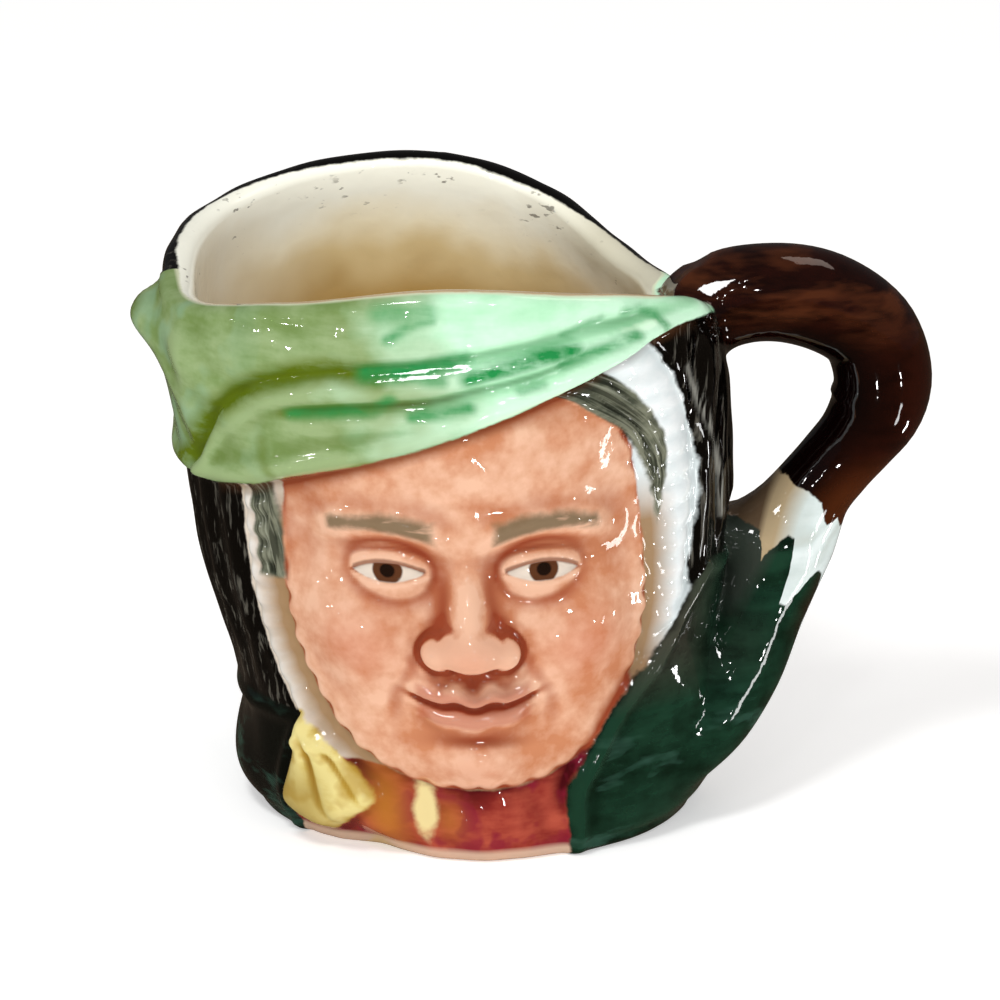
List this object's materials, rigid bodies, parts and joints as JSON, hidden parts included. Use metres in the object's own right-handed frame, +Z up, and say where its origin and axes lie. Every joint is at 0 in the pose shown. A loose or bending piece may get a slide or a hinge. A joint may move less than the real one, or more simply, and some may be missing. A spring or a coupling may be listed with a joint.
{
  "type": "toby jug",
  "caption": "Small glazed earthenware toby jug: a hollow head in a headscarf, frilled cap and bonnet, open at the top, with a looped side handle.",
  "frame": {"origin": "middle of the flat underside of the foot", "axes": "+Z up, the face looks along -Y, the handle stands out towards +X"},
  "size_m": [0.0705, 0.0483, 0.054],
  "materials": {
    "glazed_earthenware": "hand-painted under a clear gloss glaze, cream inside"
  },
  "bodies": {
    "root": {"jug": "glazed_earthenware"}
  },
  "joints": []
}
